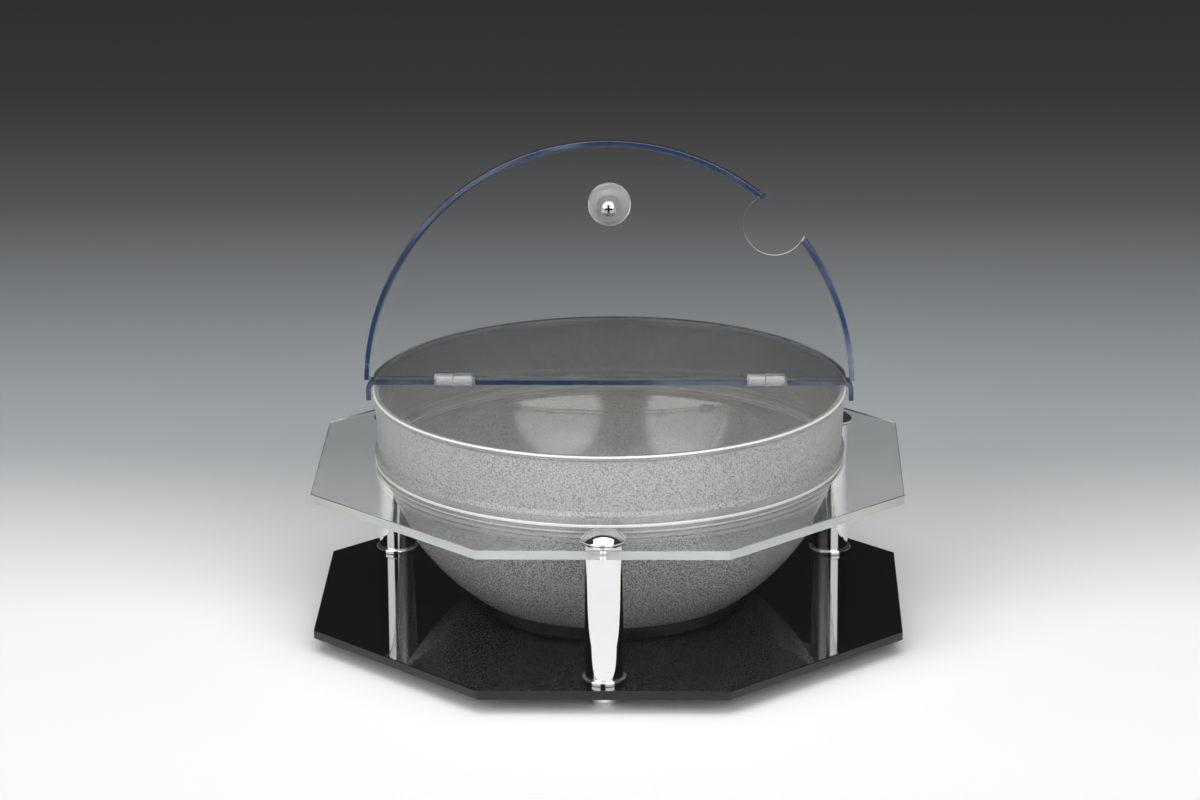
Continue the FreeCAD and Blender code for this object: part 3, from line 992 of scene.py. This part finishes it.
@dataclass
class Lid:
    """Clear lid in two half-discs with turned-down rims and two barrel hinges."""

    thick: float = 0.003
    bend: float = 0.006
    skirt_depth: float = 0.0135
    skirt_round: float = 0.0005
    leaf_gap: float = 0.0025
    edge_round: float = 0.00025
    notch_radius: float = 0.02
    notch_inset: float = 0.01
    notch_angle: float = -43.9
    hinge_inset: float = 0.0565
    barrel_radius: float = 0.0049
    barrel_round: float = 0.0006
    knuckle_length: float = 0.01185
    knuckle_gap: float = 0.0003
    rebate_depth: float = 0.0012
    sweep_gap: float = 0.0003
    heel_lap: float = 0.0035
    heel_thick: float = 0.002
    pin_radius: float = 0.00225
    pin_fit: float = 0.00003
    pin_blind: float = 0.0015
    pin_standout: float = 0.002
    pin_end_gap: float = 0.0005
    pin_round: float = 0.0008
    knob_inset: float = 0.045
    screw_hole: float = 0.00225
    screw_hole_steps: int = 48
    steps: int = 288
    bend_steps: int = 12
    inner_bend_steps: int = 8
    skirt_steps: int = 4
    barrel_steps: int = 64
    barrel_round_steps: int = 5
    pin_round_steps: int = 6

    def __post_init__(self) -> None:
        """Take the closed lid's levels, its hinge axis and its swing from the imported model."""
        place = Place.of("rear_lid_leaf")
        swing = next(joint for joint in frame["joints"] if joint["name"] == "lid_swing")
        self.axis_height: float = swing["pos_m"][2]
        self.open_turn = Matrix.Rotation(-math.radians(swing["range_deg"][1]), 3, "X")
        self.radius = place.radius
        self.top = place.high.z
        self.bottom = self.top - self.thick
        self.skirt_end = self.top - self.skirt_depth
        self.rebate_face = self.barrel_radius - self.rebate_depth
        self.sweep = self.barrel_radius + self.sweep_gap
        self.bore = self.pin_radius + self.pin_fit
        self.knob_distance = self.radius - self.knob_inset
        turn = math.radians(self.notch_angle)
        reach = self.radius - self.notch_inset
        self.notch_place = Vector((reach * math.cos(turn), reach * math.sin(turn), self.bottom))

    def opened(self, bm: BMesh) -> BMesh:
        """The same mesh, swung from closed to open about the hinge axis."""
        bmesh.ops.rotate(bm, cent=(0, 0, self.axis_height), matrix=self.open_turn, verts=bm.verts[:])
        return bm

    def half_disc(self, edge: float, leaf: Leaf) -> BMesh:
        """One leaf before its notches: a bent disc cut straight along X.

        Args:
            edge: Y of the straight cut.
            leaf: The leaf to keep.

        Returns:
            The leaf's mesh.
        """
        bend_radius = self.radius - self.bend
        bend_centre = (bend_radius, self.top - self.bend)
        inside = self.radius - self.thick
        end_round = self.skirt_end + self.skirt_round
        inner_end = (inside + self.skirt_round, end_round)
        outer_end = (self.radius - self.skirt_round, end_round)
        section = Outline(0.0, self.bottom).line(bend_radius, self.bottom)
        section.arc(bend_centre, self.bend - self.thick, 90, 0, self.inner_bend_steps)
        section.line(inside, end_round).arc(inner_end, self.skirt_round, 180, 270, self.skirt_steps)
        section.line(outer_end[0], self.skirt_end)
        section.arc(outer_end, self.skirt_round, 270, 360, self.skirt_steps)
        section.line(self.radius, self.top - self.bend)
        section.arc(bend_centre, self.bend, 0, 90, self.bend_steps).line(0.0, self.top)
        bm = turned(section, self.steps)
        everything = bm.verts[:] + bm.edges[:] + bm.faces[:]
        cut = bmesh.ops.bisect_plane(bm, geom=everything, dist=MERGE, plane_co=(0, edge, 0),
                                     plane_no=(0, leaf.value, 0), clear_inner=True)["geom_cut"]
        bmesh.ops.edgeloop_fill(bm, edges=[item for item in cut if isinstance(item, BMEdge)])
        bmesh.ops.recalc_face_normals(bm, faces=bm.faces[:])
        return softened(bm, self.edge_round)

    def slab(self, first: Point, last: Point) -> BMesh:
        """Upright cutter through the whole depth of the closed lid, between two XY corners."""
        return block((*first, self.top - 2 * self.skirt_depth), (*last, self.top + self.thick))

    def spans(self, side: HingeSide) -> tuple[Span, Span]:
        """X spans of a hinge's rear and front knuckles."""
        middle = side.value * (self.radius - self.hinge_inset)
        near = self.knuckle_gap / 2
        far = near + self.knuckle_length
        return (middle - far, middle - near), (middle + near, middle + far)

    def mark_cuts(self, bm: BMesh, leaf: Leaf) -> BMesh:
        """The same mesh of a closed leaf, with its cut edges and its spoon notch marked."""
        for face in bm.faces:
            middle = face.calc_center_median()
            off_notch = (middle - self.notch_place).xy.length - self.notch_radius
            on_end = middle.z < self.skirt_end + self.skirt_round and face.normal.z < -math.cos(SHARP)
            if on_end or face.normal.y * leaf.value < -math.cos(SHARP):
                face.material_index = SheetPart.EDGE
            elif abs(off_notch) < self.edge_round and abs(face.normal.z) < math.sin(SHARP):
                face.material_index = SheetPart.HOLE
        return bm

    def build_leaves(self) -> None:
        """Cut both leaves, notch them round barrels and pins, and swing the front one open."""
        rear_cutters = []
        front_cutters = []
        for side in HingeSide:
            rear, front = self.spans(side)
            start = rear[0] - self.pin_end_gap
            end = front[1] + self.pin_standout + self.pin_end_gap
            rear_cutters.append(self.slab((rear[0], -self.sweep), (rear[1], self.rebate_face)))
            rear_cutters.append(self.slab((rear[1], -self.sweep), (end, self.sweep)))
            front_cutters.append(self.slab((start, -self.sweep), (front[0], self.sweep)))
            front_cutters.append(self.slab((front[0], -self.rebate_face), (end, self.sweep)))
        depth = CUTTER_REACH * self.skirt_depth
        screw_place = Vector((0.0, -self.knob_distance, self.bottom))
        front_cutters.append(drill(self.notch_radius, self.notch_place, depth))
        front_cutters.append(drill(self.screw_hole, screw_place, depth, self.screw_hole_steps))
        bm = self.mark_cuts(carved(self.half_disc(SEAM, Leaf.REAR), rear_cutters), Leaf.REAR)
        dressed("rear_lid_leaf", bm, Body.REAR_LID, Slot.CLEAR, LID_ACRYLIC, LID_CUT)
        bm = self.mark_cuts(carved(self.half_disc(-self.leaf_gap, Leaf.FRONT), front_cutters), Leaf.FRONT)
        dressed("front_lid_leaf", self.opened(bm), Body.FRONT_LID, Slot.CLEAR, LID_ACRYLIC, LID_CUT,
                LID_NOTCH)

    def along_axis(self, section: Outline) -> BMesh:
        """Turn a section whose heights are X positions about the hinge axis."""
        bm = turned(section, self.barrel_steps)
        bmesh.ops.rotate(bm, cent=(0, 0, 0), matrix=Matrix.Rotation(math.pi / 2, 3, "Y"), verts=bm.verts[:])
        return moved(bm, Vector((0.0, 0.0, self.axis_height)))

    def barrel(self, span: Span, bore_start: float) -> BMesh:
        """Knuckle blank with rounded ends and a bore for the pin.

        Args:
            span: X positions of its ends.
            bore_start: X where the bore begins.

        Returns:
            The knuckle's mesh.
        """
        shoulder = self.barrel_radius - self.barrel_round
        low = span[0] + self.barrel_round
        high = span[1] - self.barrel_round
        blind = bore_start > span[0] + MERGE
        section = Outline(0.0, bore_start) if blind else Outline(self.bore, span[0])
        if blind:
            section.line(self.bore, bore_start)
        section.line(self.bore, span[1]).line(shoulder, span[1])
        section.arc((shoulder, high), self.barrel_round, 90, 0, self.barrel_round_steps)
        section.line(self.barrel_radius, low)
        section.arc((shoulder, low), self.barrel_round, 0, -90, self.barrel_round_steps)
        if blind:
            section.line(0.0, span[0])
        return self.along_axis(section)

    def pin(self, first: float, last: float) -> Outline:
        """Half-section of a pin with rounded ends between two X positions."""
        shoulder = self.pin_radius - self.pin_round
        low = first + self.pin_round
        high = last - self.pin_round
        section = Outline(0.0, first).line(shoulder, first)
        section.arc((shoulder, low), self.pin_round, -90, 0, self.pin_round_steps)
        section.line(self.pin_radius, high)
        return section.arc((shoulder, high), self.pin_round, 0, 90, self.pin_round_steps).line(0.0, last)

    def build_hinge(self, side: HingeSide) -> None:
        """Make one hinge: two knuckles, each cemented to its leaf's rebate, and the pin.

        Args:
            side: Which hinge.
        """
        hinge = f"{side.name.lower()}_hinge"
        rear, front = self.spans(side)
        low = self.bottom - SEAM
        high = self.top + SEAM
        face = self.rebate_face - SEAM
        far = 2 * self.sweep
        leaf = block((rear[0] - far, face, low), (rear[1] + far, far, high))
        bm = carved(self.barrel(rear, rear[0] + self.pin_blind), [leaf])
        dressed(f"{hinge}_rear_knuckle", bm, Body.REAR_LID, Slot.CLEAR, HINGE_ACRYLIC)

        heel = block((front[0] + self.barrel_round, 0.0, self.top + 2 * SEAM),
                     (front[1] - self.barrel_round, self.sweep + self.heel_lap, self.top + self.heel_thick))
        leaf = self.opened(block((front[0] - far, -far, low), (front[1] + far, -face, high)))
        bore = Outline(0.0, front[0] - far).line(self.bore, front[0] - far)
        bore.line(self.bore, front[1] + far).line(0.0, front[1] + far)
        bm = carved(self.barrel(front, front[0]), [self.along_axis(bore), leaf],
                    [softened(heel, self.edge_round)])
        dressed(f"{hinge}_front_knuckle", bm, Body.FRONT_LID, Slot.CLEAR, HINGE_ACRYLIC)

        pin = self.pin(rear[0] + self.pin_blind + SEAM, front[1] + self.pin_standout)
        dressed(f"{hinge}_pin", self.along_axis(pin), Body.REAR_LID, Slot.CLEAR, HINGE_ACRYLIC)

    def build(self) -> None:
        """Make both leaves and both hinges."""
        self.build_leaves()
        for side in HingeSide:
            self.build_hinge(side)


@dataclass
class Knob:
    """Clear turned knob behind the open leaf, with its cross-head screw in front."""

    lid: Lid
    diameter: float = 0.028
    height: float = 0.029
    foot_diameter: float = 0.017
    foot_height: float = 0.0015
    neck_diameter: float = 0.013
    neck_height: float = 0.006
    widest_height: float = 0.019
    crown_diameter: float = 0.017
    crown_drop: float = 0.0016
    screw_radius: float = 0.002
    screw_reach: float = 0.012
    screw_fit: float = 0.00005
    screw_end_gap: float = 0.001
    head_radius: float = 0.005
    head_height: float = 0.0024
    head_edge: float = 0.0006
    recess_length: float = 0.005
    recess_width: float = 0.0012
    recess_depth: float = 0.0013
    edge_round: float = 0.0002
    steps: int = 128
    neck_steps: int = 8
    flare_steps: int = 14
    shoulder_steps: int = 12
    crown_steps: int = 8
    head_steps: int = 10

    def __post_init__(self) -> None:
        """Take the height where the recess ends in the closed lid's screw."""
        self.recess_end = self.lid.bottom - self.head_height + self.recess_depth

    def knob_section(self) -> Outline:
        """Half-section of the knob on the closed leaf, from the screw's socket to the crown.

        Returns:
            The outline.
        """
        base = self.lid.top + SEAM
        socket = self.screw_radius + self.screw_fit
        socket_end = base + self.screw_reach + self.screw_end_gap
        foot = (self.foot_diameter / 2, base + self.foot_height)
        neck = (self.neck_diameter / 2, base + self.neck_height)
        widest = (self.diameter / 2, base + self.widest_height)
        apex = base + self.height
        crown = (self.crown_diameter / 2, apex - self.crown_drop)
        section = Outline(0.0, socket_end).line(socket, socket_end).line(socket, base)
        section.line(foot[0], base).line(*foot).swell(neck, foot, self.neck_steps)
        section.swell(widest, neck, self.flare_steps).swell(widest, crown, self.shoulder_steps)
        return section.dome(crown, apex, self.crown_steps)

    def screw_section(self) -> Outline:
        """Half-section of the dome-headed screw under the closed leaf, from the shank's end to the head.

        Returns:
            The outline.
        """
        seat = self.lid.bottom - SEAM
        end = self.lid.top + self.screw_reach
        section = Outline(0.0, end).line(self.screw_radius, end).line(self.screw_radius, seat)
        edge = (self.head_radius, seat - self.head_edge)
        section.line(self.head_radius, seat)
        return section.dome(edge, seat - self.head_height, self.head_steps)

    def recess(self) -> list[BMesh]:
        """Cutters of the screw's cross recess."""
        long = self.recess_length / 2
        short = self.recess_width / 2
        low = self.lid.bottom - 2 * self.head_height
        return [block((-x, -y, low), (x, y, self.recess_end)) for x, y in ((long, short), (short, long))]

    def in_recess(self, spot: Vector, normal: Vector) -> bool:
        """Whether a spot of the closed lid's screw lies in the recess."""
        within = spot.xy.length < self.recess_length / 2 + MERGE and spot.z < self.recess_end + MERGE
        return within and (abs(normal.z) < math.sin(SHARP) or spot.z > self.recess_end - MERGE)

    def build(self) -> None:
        """Turn the knob and the screw and set them on the open leaf."""
        place = Vector((0.0, -self.lid.knob_distance, 0.0))
        knob = lathed(self.knob_section(), self.steps, self.edge_round)
        dressed("lid_knob", self.lid.opened(moved(knob, place)), Body.FRONT_LID, Slot.CLEAR, KNOB_ACRYLIC)
        screw = carved(lathed(self.screw_section(), self.steps, self.edge_round), self.recess())
        # Faces in the screw's cross recess take the painted shade finish.
        for face in screw.faces:
            face.material_index = int(self.in_recess(face.calc_center_median(), face.normal))
        dressed("knob_screw", self.lid.opened(moved(screw, place)), Body.FRONT_LID, Slot.STEEL, SCREW_STEEL,
                PAINTED_SHADE_RECESS_STEEL)


@dataclass(frozen=True)
class Softbox:
    """A rectangular soft lamp."""

    name: str
    place: Triple
    aim: Triple
    size: Point
    power: float

    def hang(self) -> None:
        """Put the lamp up."""
        lamp = bpy.data.lights.new(self.name, "AREA")
        lamp.shape = "RECTANGLE"
        lamp.size, lamp.size_y = self.size
        lamp.energy = self.power
        stand = bpy.data.objects.new(self.name, lamp)
        stand.location = self.place
        stand.rotation_euler = (Vector(self.aim) - Vector(self.place)).to_track_quat("-Z", "Y").to_euler()
        bpy.context.scene.collection.objects.link(stand)


@dataclass(frozen=True)
class Glow:
    """A round soft lamp far off in the room, by its bearing from the front and its height in degrees."""

    bearing: float
    height: float
    shade: float
    spread: Span = (25.0, 18.0)

    @property
    def toward(self) -> Vector:
        """The way to the lamp."""
        turn = math.radians(self.bearing)
        lift = math.radians(self.height)
        level = math.cos(lift)
        return Vector((level * math.sin(turn), -level * math.cos(turn), math.sin(lift)))

    def added(self, room: Wiring, sight: NodeSocket, under: NodeSocket | float) -> NodeSocket:
        """Add the lamp to the room's light.

        Args:
            room: The room's nodes.
            sight: The way that is looked.
            under: The light so far.

        Returns:
            The light with the lamp.
        """
        facing = room.node("ShaderNodeVectorMath", {0: sight, 1: self.toward}, operation="DOT_PRODUCT")
        outer, inner = (math.cos(math.radians(angle)) for angle in self.spread)
        disc = room.ranged(facing.outputs["Value"], (outer, inner), (0.0, self.shade),
                           interpolation_type="SMOOTHSTEP")
        return room.node("ShaderNodeMath", {0: under, 1: disc}).outputs[0]


@dataclass
class Studio:
    """Pale floor, soft lamps and the camera."""

    floor_half: float = 8.0
    room_shade: float = 0.04
    softbox: Softbox = Softbox("overhead_softbox", (0.0, -0.35, 2.0), (0.0, 0.0, 0.1), (2.2, 1.6), 20.0)
    glows: tuple[Glow, ...] = (Glow(-42.0, 22.0, 3.2), Glow(30.0, 22.0, 3.2), Glow(-42.0, 54.0, 1.2),
                               Glow(30.0, 54.0, 1.2))
    camera_place: Triple = (0.0700, -2.8327, 1.0104)
    camera_aim: Triple = (-0.0061, 0.0, 0.1456)
    camera_roll: float = -0.368
    camera_lens: float = 137.952
    bounces: int = 40
    glossy_bounces: int = 24
    transmission_bounces: int = 32
    transparent_bounces: int = 16

    def lay_floor(self) -> None:
        """Lay the paper floor under the feet."""
        bm = bmesh.new()
        bmesh.ops.create_grid(bm, x_segments=1, y_segments=1, size=self.floor_half)
        floor = placed("paper_floor", bm)
        floor.data.materials.append(PAPER.material())

    def light(self) -> None:
        """Hang the softbox and set the glows in a dim room."""
        self.softbox.hang()
        world = bpy.data.worlds.new("studio_room")
        world.use_nodes = True
        room = Wiring(world.node_tree)
        sight = room.node("ShaderNodeTexCoord").outputs["Generated"]
        bright = self.room_shade
        for glow in self.glows:
            bright = glow.added(room, sight, bright)
        room.feed(room.tree.nodes["Background"].inputs["Color"], bright)
        bpy.context.scene.world = world

    def aim_camera(self) -> None:
        """Set the camera up at the photograph's viewing angle."""
        lens = bpy.data.cameras.new("camera")
        lens.lens = self.camera_lens
        camera = bpy.data.objects.new("camera", lens)
        camera.location = self.camera_place
        sight = (Vector(self.camera_aim) - Vector(self.camera_place)).to_track_quat("-Z", "Y").to_matrix()
        camera.rotation_euler = (sight @ Matrix.Rotation(math.radians(self.camera_roll), 3, "Z")).to_euler()
        bpy.context.scene.collection.objects.link(camera)
        bpy.context.scene.camera = camera

    def set_rendering(self) -> None:
        """Let light bounce far enough through clear plastic, and keep plain colours."""
        scene = bpy.context.scene
        scene.view_settings.view_transform = "Standard"
        scene.cycles.max_bounces = self.bounces
        scene.cycles.glossy_bounces = self.glossy_bounces
        scene.cycles.transmission_bounces = self.transmission_bounces
        scene.cycles.transparent_max_bounces = self.transparent_bounces
        scene.cycles.use_denoising = True

    def build(self) -> None:
        """Set the studio up."""
        self.lay_floor()
        self.light()
        self.aim_camera()
        self.set_rendering()


def main() -> None:
    """Build the stand from the table up, then the studio."""
    logging.basicConfig(level=logging.INFO, format="%(name)s %(message)s")
    posts = [Post(side) for side in Side]
    bowl = Bowl()
    lid = Lid()
    Plates(bowl, [post.axis for post in posts]).build()
    for post in posts:
        post.build()
    bowl.build()
    lid.build()
    Knob(lid).build()
    Studio().build()


if __name__ == "__main__":
    main()
